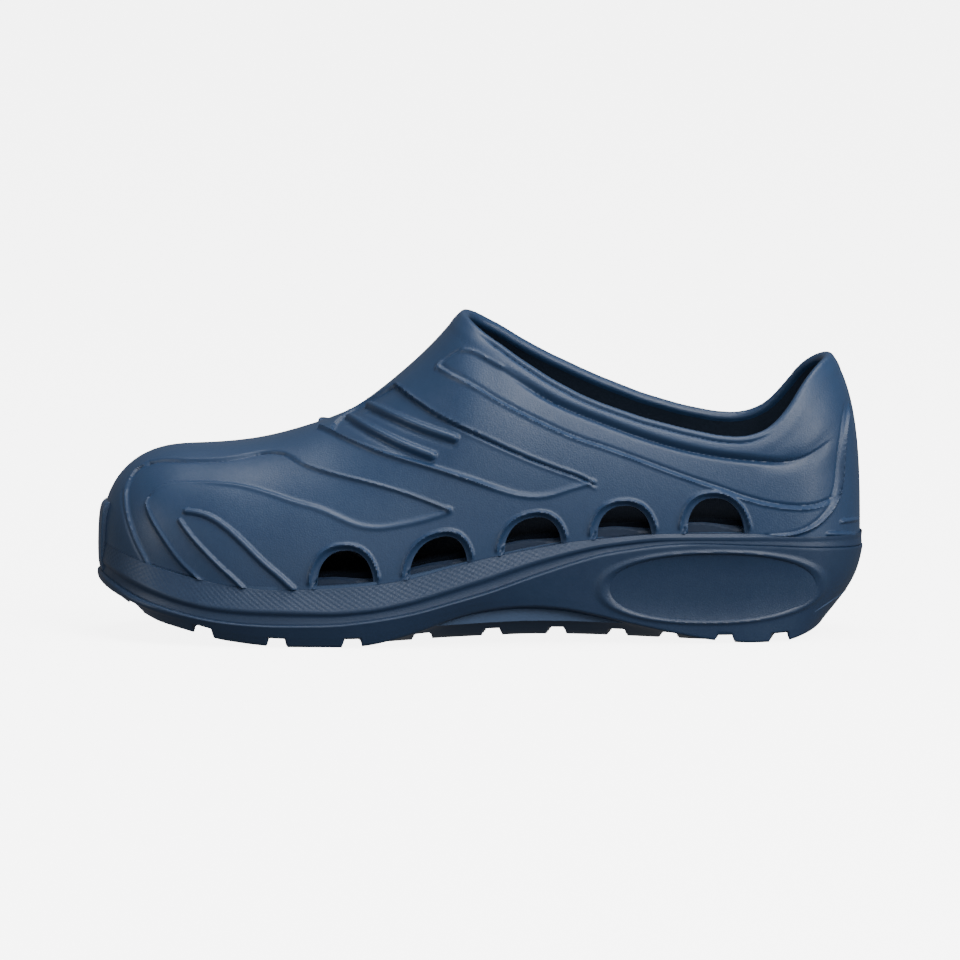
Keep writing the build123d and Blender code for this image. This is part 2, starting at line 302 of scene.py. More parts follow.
TOE_PANEL_EDGE = [(-119, 58.2), (-121.6, 54), (-122.4, 51.2), (-120.2, 46.2), (-115.9, 38.9),
                  (-109.8, 30.4), (-103.8, 25), (-101, 22.5)]
TOE_CAP_EDGE = [(-120.3, 26), (-122.5, 31.8), (-125.7, 37.6), (-128.3, 45), (-129.8, 51.2),
                (-129.8, 57.1), (-128, 62)]
RIBS = [([(-109.8, 46), (-106.2, 40.8), (-100.7, 34.7), (-94.7, 28.6), (-90, 24.5), (-86.5, 21)], 0.95),
        ([(-107.5, 49.3), (-102.7, 48.6), (-97.7, 46.8), (-91.7, 42.5), (-85.5, 36.6), (-79.7, 30.7),
          (-73.5, 25.6), (-68.5, 21)], 1.3)]
COUNTER_EDGE = [(135, 89), (134.4, 86), (133.8, 81.3), (133.2, 76.5), (132.8, 70.1), (132.5, 61),
                (131.2, 54.5), (127.8, 48.4), (122.5, 43.4), (114.8, 40.6), (106, 40)]
BEHIND_COUNTER = [(106, 20), (170, 20), (170, 89)]  # closes the counter's outline past the heel
KICK_RIBS = [[(131.6, 45.4), (136, 46.2), (139.8, 46.3)], [(126.8, 41.0), (133, 41.0), (139.8, 40.6)]]
COUNTER_THICKNESS = 1.6
RELIEF_STRENGTH = 1.2  # of all raised and sunk lines

relief = np.zeros(side_form.shape[:2])
x_side = side_form[..., 0]


def dropped(points, dx, dh):
    """The same line a little further along and down."""
    return [(x + dx, h - dh) for x, h in points]


# The slipper panel: sunk under the collar's groove, flush again at its corner by the counter
slipper_panel = panel(SLIPPER_FRONT + COLLAR_GROOVE[2:] + COUNTER_EDGE[3:7] + SLIPPER_EDGE[::-1], 0.6)
flush_corner = ease(x_side, 116, 130) * ease(side_form[..., 2], 60, 76)
relief -= 0.9 * slipper_panel * ease(x_side, -15, 6) * (1 - flush_corner)
relief -= 1.25 * trace(COLLAR_GROOVE[1:], 1.15) * ease(x_side, 4, 26) * (1 - ease(x_side, 100, 124))
relief -= 0.7 * trace(COLLAR_GROOVE[8:], 3.2) * ease(x_side, 96, 116) * (1 - ease(x_side, 122, 131))
relief += 0.75 * trace(SLIPPER_EDGE, 0.55) * (1 - 0.7 * ease(x_side, 116, 128))
relief -= 0.45 * trace(dropped(SLIPPER_EDGE, 0.5, -1.3), 0.5)
relief += 0.55 * trace(SLIPPER_FRONT[2:], 0.55) * ease(x_side, -9, -6) * (1 - ease(x_side, 6, 16))
relief -= 0.4 * trace(SLIPPER_FRONT[1:4], 0.55)
relief += 0.6 * trace([(-15.6, 101.6), (-14.7, 103.6)], 0.9)

# The wedge over the instep and its two bars
wedge_depth = 0.45 + 0.95 * ease(-x_side, -30, 35)
relief -= wedge_depth * panel(WEDGE_TOP + WEDGE_FOOT[::-1], 0.7)
relief += 0.45 * trace(WEDGE_TOP, 0.6) + 0.75 * trace(WEDGE_FOOT, 0.85)
relief += 0.75 * trace(WEDGE_FOOT, 0.8) * (1 - ease(x_side, -6, 14))
relief -= 0.45 * trace(dropped(WEDGE_TOP, 0.4, 1.0), 0.5)
relief += 0.35 * trace(dropped(WEDGE_TOP, 0.8, 2.2), 0.55) * ease(x_side, -20, -5)
for bar in BARS:
    relief += 1.5 * ridge(bar, 1.75)
    relief -= 0.35 * trace(dropped(bar, -0.5, 2.6), 1.0)

# The leaf along the vamp, the toe panel under it, and the ribs on the toe
leaf_depth = 0.85 - 0.5 * ease(x_side, -78, -45)
leaf_outline = LEAF_TOP + LEAF_FOOT + TOE_PANEL_EDGE + TOE_CAP_EDGE + [(-125.5, 65.5)]
relief -= leaf_depth * panel(leaf_outline, 1.0)
relief -= 0.5 * trace(LEAF_TOP, 0.65) * (1 - ease(x_side, -76, -60))
relief += 0.8 * trace(LEAF_TOP, 0.5) * ease(x_side, -74, -56)
relief += 0.5 * trace([(-12.2, 50.1), (-11.3, 49.6)], 0.8)
relief += 0.65 * trace(LEAF_FOOT, 1.0) * ease(x_side, -112, -88)
relief += 0.75 * trace(TOE_PANEL_EDGE[1:], 0.75)
relief += 0.45 * trace(TOE_CAP_EDGE[:-1], 0.5)
relief -= 0.25 * trace(dropped(TOE_CAP_EDGE[:-1], -1.1, 0), 0.6)
for rib, width in RIBS:
    relief += 1.1 * ridge(rib, width)

# The counter's bead, and the two short ribs on the heel's back
below_collar = 1 - ease(side_form[..., 2], 80, 87)
counter_bead = 1.1 * trace(COUNTER_EDGE, 0.6) - 0.45 * trace(dropped(COUNTER_EDGE, -1.5, -0.2), 0.6)
relief += counter_bead * below_collar
for rib in KICK_RIBS:
    relief += 0.8 * ridge(rib, 0.9) * (1 - ease(x_side, 136, 139))
counter = depth_in(COUNTER_EDGE + BEHIND_COUNTER)
relief *= RELIEF_STRENGTH

# ---------------------------------------------------------------- vents

# middle, half width, height over the deck, and how far the arch leans to the toe
VENTS = [(-48.9, 10.3, 13.4, 0.06), (-14.9, 10.4, 12.4, 0.06), (19.3, 10.3, 11.4, 0.06),
         (52.6, 9.8, 11.2, 0.08), (86.0, 10.4, 12.8, 0.08)]
RIM_TOE_SIDE, RIM_TOP, RIM_HEEL_SIDE = 2.9, 1.9, 1.9  # how far the raised rim stands off the hole
RIM_HEIGHT = 1.3
BEVEL_DEPTH = 1.2


def arch_level(middle, half_width, height, lean):
    """Distance out of an arch over the lateral side, negative inside it."""
    up = (side_form[..., 2] - deck(x_side)) / height
    across = (x_side - middle) / half_width + lean * np.clip(up, 0, 1.5)
    reach = (np.abs(across) ** 2.3 + np.clip(up, 0, None) ** 2.1) ** (1 / 2.2)
    return (reach - 1) * min(half_width, height)


above_seam = side_form[..., 2] - seam(x_side)
vents = np.full(x_side.shape, np.inf)
rim_middle = (RIM_HEEL_SIDE - RIM_TOE_SIDE) / 2
rim_wider = (RIM_HEEL_SIDE + RIM_TOE_SIDE) / 2
for middle, half_width, height, lean in VENTS:
    hole = arch_level(middle, half_width, height, lean)
    rim = arch_level(middle + rim_middle, half_width + rim_wider, height + RIM_TOP, lean)
    bevel = np.clip(hole / np.maximum(hole - rim, 0.2), 0, 1)
    relief = relief * ease(rim, 0.0, 2.0)
    relief = np.where(rim < 0, -BEVEL_DEPTH * (1 - ease(bevel, 0.0, 0.9)), relief)
    relief += RIM_HEIGHT * np.exp(-((rim / 0.52) ** 2)) * ease(above_seam, 0.5, 3.0)
    corner_x = middle - half_width
    foot = seam(corner_x) - 0.2
    notch = [(corner_x - 1.6, foot - 0.4), (corner_x - 0.4, foot + 1.0), (corner_x + 0.2, foot + 3.0)]
    relief += 1.3 * ridge(notch, 0.8)
    vents = np.minimum(vents, hole)

relief, vents, counter = [np.concatenate([half, half[-2:0:-1]]) for half in (relief, vents, counter)]
near_ridge = ease(np.arange(relief.shape[1]), 0.9 * UPPER_ROWS, UPPER_ROWS)
evened = relief
for _ in range(EVEN_PASSES):
    evened = (np.roll(evened, 1, axis=0) + 2 * evened + np.roll(evened, -1, axis=0)) / 4
    evened[:, 1:-1] = (evened[:, :-2] + 2 * evened[:, 1:-1] + evened[:, 2:]) / 4
relief = relief * (1 - near_ridge) + evened * near_ridge

# ---------------------------------------------------------------- the collar's opening

BEAD_WIDTH = 2.8
LIP_ROUND = 1.9  # radius of the collar's rounded edge
COLLAR_REACH = 9.0  # the collar thickens over this much below its edge

topline = graph([(-12, 124.0), (-8, 119.8), (-5, 117.6), (-1, 114.6), (2.5, 111.8), (5.9, 109.8),
                 (9.4, 107.5), (13.5, 104.5), (19.9, 100.4), (26.3, 96.4), (36.6, 91.0), (44.2, 87.8),
                 (59.1, 82.7), (74, 78.8), (86, 76.2), (93, 75.5), (98, 75.9), (103.8, 77.8), (108, 81),
                 (112.8, 86.8), (117.3, 93.8), (122, 99.3), (126, 102.6), (130, 104.2), (140, 105)],
                blur=1.6)
medial_lift = graph([(-20, 0), (-8, 0), (0, 3.0), (7, 3.0), (13, 3.4), (20, 3.7), (26, 4.3), (36, 4.8),
                     (45, 4.4), (60, 3.3), (75, 2.6), (90, 2.8), (103, 3.6), (112, 5.6), (118, 4.2),
                     (124, 0.9), (130, 0), (140, 0)])
is_medial = ease(form[..., 1], -6, 6)
collar = topline(form[..., 0]) + medial_lift(form[..., 0]) * is_medial - form[..., 2]


def crossing_points(level):
    """Points where a level passes through 0 along the ring's columns or round its rows."""
    found = []
    for axis in (0, 1):
        following = np.roll(level, -1, axis=axis)
        place = np.roll(form, -1, axis=axis)
        crosses = (level > 0) != (following > 0)
        if axis == 1:
            crosses[:, -1] = False
        t = level[crosses] / (level[crosses] - following[crosses])
        found.append(form[crosses] + (place[crosses] - form[crosses]) * t[:, None])
    return np.vstack(found)


rim_away = distance(crossing_points(collar), form, COLLAR_REACH) * np.where(collar > 0, 1, -1)
lip = 1 - np.sqrt(1 - np.clip(1 - rim_away / LIP_ROUND, 0, 1) ** 2)
groove_share = ease(form[..., 0], -2, 6) * (1 - ease(form[..., 0], 96, 108))
rim_groove = np.exp(-(((rim_away - BEAD_WIDTH) / 0.5) ** 2)) * groove_share
relief = relief + 0.35 * ease(COLLAR_REACH - rim_away, 0, 4) - 0.75 * rim_groove - LIP_ROUND * lip

# ---------------------------------------------------------------- meshes


def new_piece(name, points, faces, material, node, painted_shade_finish=None, painted_shade_faces=None):
    """A mesh object in the frame, riding on the one body, standing for its CAD node."""
    mesh = bpy.data.meshes.new(name)
    sizes = np.array([len(face) for face in faces], np.int32)
    loops = np.concatenate([np.asarray(face, np.int32) for face in faces])
    used, loops = np.unique(loops, return_inverse=True)
    points = np.asarray(points)[used] / 1000
    mesh.vertices.add(len(points))
    mesh.vertices.foreach_set("co", points.astype(np.float32).ravel())
    mesh.loops.add(len(loops))
    mesh.loops.foreach_set("vertex_index", loops.astype(np.int32))
    mesh.polygons.add(len(sizes))
    starts = np.concatenate([[0], np.cumsum(sizes)[:-1]]).astype(np.int32)
    mesh.polygons.foreach_set("loop_start", starts)
    mesh.polygons.foreach_set("use_smooth", np.ones(len(sizes), bool))
    mesh.materials.append(material)
    # A second material, the painted shade of the upper's inside, goes on the faces marked 1.
    if painted_shade_finish:
        mesh.materials.append(painted_shade_finish)
        mesh.polygons.foreach_set("material_index", np.asarray(painted_shade_faces, np.int32))
    mesh.update(calc_edges=True)
    mesh.validate()
    mesh.set_sharp_from_angle(angle=math.radians(50))
    piece = bpy.data.objects.new(name, mesh)
    bpy.context.scene.collection.objects.link(piece)
    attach(piece, "root")
    if node:
        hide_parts(*node)
    return piece


def ring_index(rows, zipped=True):
    """Vertex numbers of a ring of columns whose last row closes along the middle."""
    index = np.arange(COLUMNS * rows).reshape(COLUMNS, rows)
    if zipped:
        back = np.arange(COLUMNS) > SIDE_COLUMNS
        index[back, -1] = index[mirror[back], -1]
    return index


def without_repeats(faces):
    """Faces without doubled corners, and without those left with fewer than three."""
    faces = [[v for k, v in enumerate(face) if v != face[k - 1]] for face in faces]
    return [face for face in faces if len(face) >= 3]


def trimmed(level, index):
    """Faces of a ring where level is over 0, cut cleanly along its zero line, and the points added there.

    An added point is (vertex, vertex, share), so that any surface on the same ring can place it."""
    flat = level.ravel()
    corner = [index, np.roll(index, -1, axis=0)]
    quads = np.stack([corner[0][:, :-1], corner[1][:, :-1], corner[1][:, 1:], corner[0][:, 1:]], axis=2)
    quads = quads.reshape(-1, 4)
    inside_corner = flat[quads] > 0
    kept = inside_corner.sum(axis=1)
    faces = [list(face) for face in quads[kept == 4]]
    cuts, added = {}, []
    total = flat.size
    for face, within in zip(quads[(kept > 0) & (kept < 4)], inside_corner[(kept > 0) & (kept < 4)]):
        outline = []
        for k in range(4):
            a, b = int(face[k]), int(face[(k + 1) % 4])
            if a == b:
                continue
            if within[k]:
                outline.append(a)
            if (flat[a] > 0) != (flat[b] > 0):
                key = (min(a, b), max(a, b))
                if key not in cuts:
                    cuts[key] = total + len(added)
                    share = flat[key[0]] / (flat[key[0]] - flat[key[1]])
                    added.append((key[0], key[1], share))
                outline.append(cuts[key])
        if len(outline) >= 3:
            faces.append(outline)
    return without_repeats(faces), added


def placed(surface, added):
    """A ring's points with the cut points added."""
    flat = surface.reshape(-1, 3)
    if not added:
        return flat
    first, second, share = (np.array(column) for column in zip(*added))
    between = flat[first] + (flat[second] - flat[first]) * share[:, None]
    return np.vstack([flat, between])


def open_edges(faces):
    """Directed edges that only one face has."""
    seen = {}
    for face in faces:
        for k, v in enumerate(face):
            w = face[(k + 1) % len(face)]
            key = (min(v, w), max(v, w))
            if key in seen:
                seen[key] = None
            else:
                seen[key] = (v, w)
    return [pair for pair in seen.values() if pair]


def shell(name, level, outer, inner, material, node, zipped=True, painted_shade_finish=None):
    """A closed piece between two surfaces on one ring, where level is over 0."""
    index = ring_index(outer.shape[1], zipped)
    faces, added = trimmed(level, index)
    outer_points, inner_points = placed(outer, added), placed(inner, added)
    count = len(outer_points)
    walls = [[b, a, a + count, b + count] for a, b in open_edges(faces)]
    back = [[v + count for v in face[::-1]] for face in faces]
    # The back faces take the second material when one is given: painted shade for the upper's inside.
    painted_shade_faces = [0] * len(faces) + [1] * len(back) + [0] * len(walls)
    points = np.vstack([outer_points, inner_points])
    return new_piece(name, points, faces + back + walls, material, node, painted_shade_finish, painted_shade_faces)


# ---------------------------------------------------------------- materials


class Wire:
    """A node's socket that can be used in sums."""

    def __init__(self, nodes, socket):
        self.nodes, self.socket = nodes, socket

    def _maths(self, operation, other):
        return self.nodes.add("ShaderNodeMath", {"operation": operation}, self, other)

    def __add__(self, other):
        return self._maths("ADD", other)

    __radd__ = __add__

    def __sub__(self, other):
        return self._maths("SUBTRACT", other)

    def __mul__(self, other):
        return self._maths("MULTIPLY", other)


class Finish:
    """One material and the nodes that make it."""

    def __init__(self, name):
        self.material = bpy.data.materials.new(name)
        self.material.use_nodes = True
        self.tree = self.material.node_tree
        self.shader = self.tree.nodes["Principled BSDF"]

    def add(self, kind, settings, *inputs, output=0, **named):
        """Any node, from its type, its settings, and the values or links of its sockets."""
        node = self.tree.nodes.new(kind)
        for key, value in settings.items():
            setattr(node, key, value)
        for key, value in [*enumerate(inputs), *named.items()]:
            self._put(node.inputs[key.replace("_", " ") if isinstance(key, str) else key], value)
        return Wire(self, node.outputs[output])

    def _put(self, socket, value):
        if isinstance(value, Wire):
            self.tree.links.new(value.socket, socket)
        else:
            socket.default_value = value

    def blend(self, share, first, second):
        """A colour between two colours."""
        node = self.tree.nodes.new("ShaderNodeMix")
        node.data_type = "RGBA"
        self._put(node.inputs[0], share)
        self._put(node.inputs[6], (*first, 1))
        self._put(node.inputs[7], (*second, 1))
        return Wire(self, node.outputs[2])

    def place(self):
        """Position on the object, in millimetres."""
        where = self.add("ShaderNodeTexCoord", {}, output="Object")
        return self.add("ShaderNodeVectorMath", {"operation": "SCALE"}, where, Scale=1000.0)

    def noise(self, size, detail, rough=0.5, where=None):
        """Cloudy 0 to 1 variation whose blobs are about size millimetres."""
        where = where or self.place()
        return self.add("ShaderNodeTexNoise", {}, output="Fac", Vector=where, Scale=1 / size, Detail=detail,
                        Roughness=rough)

    def shape(self, **named):
        """Fills the shader's sockets and gives the material."""
        for key, value in named.items():
            self._put(self.shader.inputs[key.replace("_", " ")], value)
        return self.material

    def bump(self, height, depth):
        """A normal from a height of 0 to 1 that stands for a depth in metres."""
        return self.add("ShaderNodeBump", {}, output="Normal", Height=height, Distance=depth, Strength=1.0)


def moulded_foam(name, deep, lit, rough, grain, pebble):
    """Satin foam rubber with a leather-like grain: its depth in metres, its pebbles in millimetres."""
    foam = Finish(name)
    where = foam.place()
    cloud = foam.noise(26.0, 4.0, 0.55, where)
    mottle = foam.noise(3.2, 3.0, 0.6, where)
    colour = foam.blend(cloud * 0.7 + mottle * 0.3, deep, lit)
    voronoi = {"feature": "F1"}
    cells = foam.add("ShaderNodeTexVoronoi", voronoi, output="Distance", Vector=where, Scale=1 / pebble)
    pores = foam.noise(0.32, 2.0, 0.6, where)
    normal = foam.bump(cells * 0.6 + pores * 0.4, grain)
    return foam.shape(Base_Color=colour, Roughness=rough + (mottle - 0.5) * 0.16, Normal=normal, IOR=1.48)


navy_upper = moulded_foam(
    "navy_upper_foam", (0.0095, 0.029, 0.074), (0.015, 0.040, 0.094),
    rough=0.44, grain=0.00006, pebble=0.62)
# Painted shade: the upper's own foam again, darker and matte, for the upper's inner faces, standing in for
# the shade inside the clog.
shaded_inside = moulded_foam(
    "shaded_inside_foam", (0.005, 0.013, 0.029), (0.008, 0.018, 0.038),
    rough=0.7, grain=0.00006, pebble=0.8)
# Painted shade: the sole's foam is darker than the upper's, standing in for the shade on the sole's low,
# upright walls.
navy_sole = moulded_foam(
    "navy_sole_foam", (0.0064, 0.0205, 0.054), (0.0098, 0.0278, 0.067),
    rough=0.46, grain=0.00005, pebble=0.55)
footbed_foam = moulded_foam(
    "footbed_foam", (0.0028, 0.012, 0.034), (0.0045, 0.017, 0.045),
    rough=0.6, grain=0.00008, pebble=0.8)
core_foam = moulded_foam(
    "core_foam", (0.020, 0.044, 0.098), (0.03, 0.06, 0.12),
    rough=0.6, grain=0.00006, pebble=1.1)


def woven_cover():
    """Woven sock cloth with two crossed sets of fine ribs. Its dark tone is darkened further, to near
    black, as painted shade for the inside of the clog.
    """
    cloth = Finish("woven_sock_cloth")
    where = cloth.place()
    warp = cloth.add("ShaderNodeTexWave", {"bands_direction": "X"}, output="Fac", Vector=where, Scale=0.45)
    weft = cloth.add("ShaderNodeTexWave", {"bands_direction": "Y"}, output="Fac", Vector=where, Scale=0.45)
    fuzz = cloth.noise(0.6, 3.0, 0.7, where)
    weave = warp * weft
    # Near-black colours: the cloth's own dark tone plus painted shade of the clog's inside.
    colour = cloth.blend(weave * 0.6 + fuzz * 0.4, (0.0018, 0.003, 0.0054), (0.0045, 0.007, 0.0125))
    return cloth.shape(Base_Color=colour, Roughness=0.95, Normal=cloth.bump(weave + fuzz * 0.5, 0.00015),
                       Specular_IOR_Level=0.05)


sock_cloth = woven_cover()

# ---------------------------------------------------------------- the upper, the bead and the counter

outer = form + normals * relief[..., None]
inner = form - normals * (WALL - LIP_ROUND * lip)[..., None]
under_counter = ease(counter, 0.3, 0.9)[..., None]
covered = form + normals * (relief[..., None] * (1 - under_counter) - COUNTER_THICKNESS * under_counter)
behind_counter = form - normals * COUNTER_THICKNESS
closed_upper = np.minimum(vents, rim_away - BEAD_WIDTH)
on_bead = np.minimum(rim_away, BEAD_WIDTH - rim_away)
# The upper's inner faces get the darker shaded_inside foam: painted shade inside the clog.
shell("upper", closed_upper, covered, inner, navy_upper, ["upper"], painted_shade_finish=shaded_inside)
shell("heel_counter", counter, outer, behind_counter, navy_upper, ["heel_counter"])
shell("collar_bead", on_bead, outer, inner, navy_upper, ["collar_bead"])

# ---------------------------------------------------------------- the sole's wall

band_low = graph([(-140, 27.5), (-131, 23.5), (-122, 20.0), (-109.8, 16.1), (-97.7, 13.8), (-85.5, 12.9),
                  (-73.5, 12.7), (-51.9, 12.4), (-37.8, 13.7), (-23.8, 16.8), (-9.9, 21), (4, 25.2),
                  (18.1, 30), (32.1, 33.7), (43.9, 36.2), (64, 38.4), (106, 38.2), (140, 36.8)])
parting = graph([(-140, 24.0), (-132.3, 19.8), (-125, 16.4), (-109.8, 12.2), (-97.7, 9.9), (-85.5, 8.8),
                 (-73.5, 8.4), (-51.9, 8.8), (-37.8, 10.5), (-23.8, 12.9), (-9.9, 16.8), (4, 20.6),
                 (18.1, 25.6), (32.1, 30.1), (43.9, 33.6), (64.5, 36.5), (78.6, 37.2), (106.4, 35.9),
                 (134.5, 33.6), (140, 33)])
bottom = graph([(-140, 18), (-131, 13), (-124, 10.8), (-117, 7.8), (-103.8, 4.6), (-94.7, 2.4), (-84, 1),
                (-74, 0.1), (-46, 0.1), (-36, 0.6), (-24.5, 1.2), (-14.6, 1.8), (0.7, 2.4), (16.4, 2.8),
                (31, 2.6), (46.4, 2.0), (65, 1.0), (78, 0.3), (84, 0.1), (110, 0.1), (114, 0.5),
                (122.4, 3.4), (130.8, 10), (136, 17.5), (140, 26)], blur=2.0)
draft = graph([(-140, 9.5), (-134, 7.5), (-122, 4.5), (-95, 3.2), (60, 2.6), (100, 3.2), (118, 6),
               (130, 10), (140, 13.5)])
arch_edge = graph([(-140, 0), (-46, 0), (-38, 0.6), (-30, 2.2), (-21.9, 4.2), (-16.6, 5.8), (-9.9, 8.2),
                   (-0.5, 10.4), (10.2, 11.5), (20.9, 11.6), (31.7, 10.7), (42.4, 8.7), (53.1, 6.4),
                   (63.8, 4.5), (74.6, 2.6), (85.3, 1.1), (97, 0), (140, 0)], blur=3)
texture_share = graph([(-140, 1), (20, 1), (48, 0), (140, 0)])
TREAD_GAPS = (-126.3, -100.5, -73.8, -46.4, -21, 4.3, 27.7, 49.7, 68.5, 89, 109)
GAP_DEPTH = 3.0
CHANNEL_Y = 13  # two channels run along the tread, this far from its middle


def tread(x, y):
    """How far the tread is cut away at a place in plan."""
    across = np.abs(y - ridge_y(x))
    cut = np.zeros(np.broadcast(x, y).shape)
    for gap in TREAD_GAPS:
        lean = 0.10 * np.clip(30 - across, 0, None)
        away = np.abs(x - gap - lean)
        cut = np.maximum(cut, 1 - ease(away, 2.7, 3.7))
    channel = 1 - ease(np.abs(across - CHANNEL_Y), 1.8, 2.8)
    cut = np.maximum(cut, channel * ease(x, -112, -108) * (1 - ease(x, 116, 120)))
    return cut * GAP_DEPTH


def ring_rows(stations, blends=2):
    """Rows of a ring from (inset, height, rows to the next station) stations, with softened corners."""
    rows = []
    for (inset0, height0, count), (inset1, height1, _) in zip(stations, stations[1:]):
        for k in range(count):
            t = k / count
            rows.append((inset0 + (inset1 - inset0) * t, height0 + (height1 - height0) * t))
    rows.append(stations[-1][:2])
    insets = np.stack([np.broadcast_to(row[0], COLUMNS) for row in rows], axis=1).astype(float)
    heights = np.stack([np.broadcast_to(row[1], COLUMNS) for row in rows], axis=1).astype(float)
    for _ in range(blends):
        for values in (insets, heights):
            values[:, 1:-1] = (values[:, :-2] + 2 * values[:, 1:-1] + values[:, 2:]) / 4
    return insets, heights


def ring_surface(insets, heights):
    """Points of a ring of columns, from each row's inset from the sole's edge and its height."""
    plan = edge[:, None, :] + inward[:, None, :] * insets[..., None]
    return np.concatenate([plan, heights[..., None]], axis=2)


def downward_quads(index):
    """Quads of a ring of rows, facing outwards when rows run downwards."""
    following = np.roll(index, -1, axis=0)
    quads = np.stack([index[:, :-1], index[:, 1:], following[:, 1:], following[:, :-1]], axis=2)
    return quads.reshape(-1, 4)


# Foxing band: out from the upper's foot over the knurled ledge, into the shadow groove, and back inside
z_deck, z_band, z_part = seam(at_x), band_low(at_x), parting(at_x)
ledge_in = ledge(at_x)
step = np.maximum(z_band - z_part, 0.6)
at_heel = ease(at_x, 50, 110)
hollow = ease(step, 0.6, 3.0) * (1 - 0.9 * at_heel)
band_in = 0.8 - 0.6 * at_heel
LEDGE_ROWS = 46
KNURL_PITCH, KNURL_ROW, KNURL_HEIGHT = 2.6, 1.0, 0.07
TUCK = 8.0  # how far a sole piece's hidden rim reaches in
stations = [
    (np.full(COLUMNS, TUCK), z_deck - 0.2, 4),
    (ledge_in + 0.4, z_deck - 0.1, 2),
    (ledge_in, z_deck, LEDGE_ROWS),
    (band_in, z_band + 0.9, 3),
    (band_in + 0.05, z_band, 4),
    (band_in + 0.2 + 0.7 * hollow, z_band - 0.3 * step, 4),
    (band_in + 0.1 + 0.55 * hollow, z_part + 0.25 * step, 4),
    (band_in + 0.1, z_part - 0.4, 3),
    (np.full(COLUMNS, TUCK), z_part - 0.4, 1),
]
insets, heights = ring_rows(stations)
band = ring_surface(insets, heights)
band_normals = outward(band) * -1
row = np.arange(band.shape[1])[None, :]
on_ledge = ease(row, 7, 11) * (1 - ease(row, LEDGE_ROWS + 1, LEDGE_ROWS + 4))
down = np.cumsum(np.linalg.norm(np.diff(band, axis=1, prepend=band[:, :1]), axis=2), axis=1)
knurl = np.cos(2 * math.pi * ring_length[:, None] / KNURL_PITCH) * np.cos(math.pi * down / KNURL_ROW)
knurl_height = KNURL_HEIGHT * knurl * on_ledge * texture_share(at_x)[:, None]
band = band + band_normals * knurl_height[..., None]
index = ring_index(band.shape[1], zipped=False)
first, last = index[:, 0], index[:, -1]
back = np.stack([last, first, np.roll(first, -1), np.roll(last, -1)], axis=1)
band_faces = [*downward_quads(index), *back]
new_piece("foxing_band", band.reshape(-1, 3), band_faces, navy_sole, ["foxing_band"])

# Outsole: the wall from the parting line to the tread, the undercut arch, and the lugs
draft_in = draft(at_x)
foot_x, foot_y = inset(draft_in).T
arch = arch_edge(at_x)
plain_foot = bottom(foot_x) + arch
foot_z = np.maximum(bottom(foot_x) + tread(foot_x, foot_y), plain_foot)
FIRST_WALL_ROW, WALL_ROWS, GAP_ROWS = 5, 64, 8
wall_top = z_part - 0.8
over_gaps = plain_foot + GAP_DEPTH + 0.6
draft_share = (wall_top - over_gaps) / (wall_top - plain_foot)
stations = [
    (np.full(COLUMNS, TUCK), z_part, 3),
    (0.65 * (band_in + 0.05), z_part + 0.05, FIRST_WALL_ROW - 3),
    (np.zeros(COLUMNS), wall_top, WALL_ROWS),
    (draft_in * draft_share, over_gaps, GAP_ROWS),
    (draft_in, foot_z + 0.5, 2),
    (draft_in + 0.6, foot_z, 1),
]
insets, heights = ring_rows(stations, blends=1)
belly = np.sin(np.linspace(0, math.pi, WALL_ROWS + GAP_ROWS + 1))[None, :]
fullness = draft_in * (0.2 * ease(at_x, 100, 135) + 0.25 * ease(-at_x, 100, 130))
insets[:, FIRST_WALL_ROW:FIRST_WALL_ROW + WALL_ROWS + GAP_ROWS + 1] -= belly * fullness[:, None]
wall = ring_surface(insets, heights)
TREAD_ROWS = 72
UNDERCUT_REACH = 15.0  # how far in the raised arch runs out
middle_x = graph([(-140, -118), (-128, -112), (-110, -102), (-90, -88), (-60, -60), (80, 80), (100, 97),
                  (120, 110), (140, 118)])(at_x)
edge_in = wall[:, -1, :2]
middle_plan = np.column_stack([middle_x, ridge_y(middle_x)])
share = np.linspace(0, 1, TREAD_ROWS + 1)[None, 1:, None]
tread_plan = edge_in[:, None, :] * (1 - share) + middle_plan[:, None, :] * share
tread_z = bottom(tread_plan[..., 0]) + tread(tread_plan[..., 0], tread_plan[..., 1])
from_edge = np.linalg.norm(tread_plan - edge_in[:, None, :], axis=2)
undercut = arch[:, None] * (1 - ease(from_edge, 0, UNDERCUT_REACH))
tread_z = np.maximum(tread_z, bottom(tread_plan[..., 0]) + undercut)
tread_grid = np.concatenate([tread_plan, tread_z[..., None]], axis=2)
tread_grid[:, -1] = (tread_grid[:, -1] + tread_grid[mirror, -1]) / 2
outsole = np.concatenate([wall, tread_grid], axis=1)

PAD_X, PAD_Z, PAD_LONG, PAD_TALL = 84.3, 20.8, 39.5, 12.8  # the oval's middle and half sizes
PAD_POWER = 2.25
OVAL_SCALE = 12  # turns the oval's reach past its outline into millimetres
OVAL_LIP, OVAL_DEPTH = 0.65, 1.6


def pad_reach(x, z):
    """0 at the oval's middle and 1 on its outline."""
    long_way = np.abs((x - PAD_X) / PAD_LONG) ** PAD_POWER
    tall_way = np.abs((z - PAD_Z) / PAD_TALL) ** PAD_POWER
    return (long_way + tall_way) ** (1 / PAD_POWER)


outsole_out = -outward(outsole)
from_oval = (pad_reach(outsole[..., 0], outsole[..., 2]) - 1) * OVAL_SCALE
row = np.arange(outsole.shape[1])[None, :]
on_wall = (row < wall.shape[1] - 2) & (row > FIRST_WALL_ROW)
dish = (1 - ease(from_oval, -1.4, -0.4)) * on_wall
oval_lip = np.exp(-(((from_oval - 0.2) / 0.6) ** 2)) * on_wall
outsole = outsole + outsole_out * (OVAL_LIP * oval_lip - OVAL_DEPTH * dish)[..., None]
quads = downward_quads(ring_index(outsole.shape[1]))
faces = without_repeats(quads)
new_piece("outsole", outsole.reshape(-1, 3), faces, navy_sole, ["outsole"])

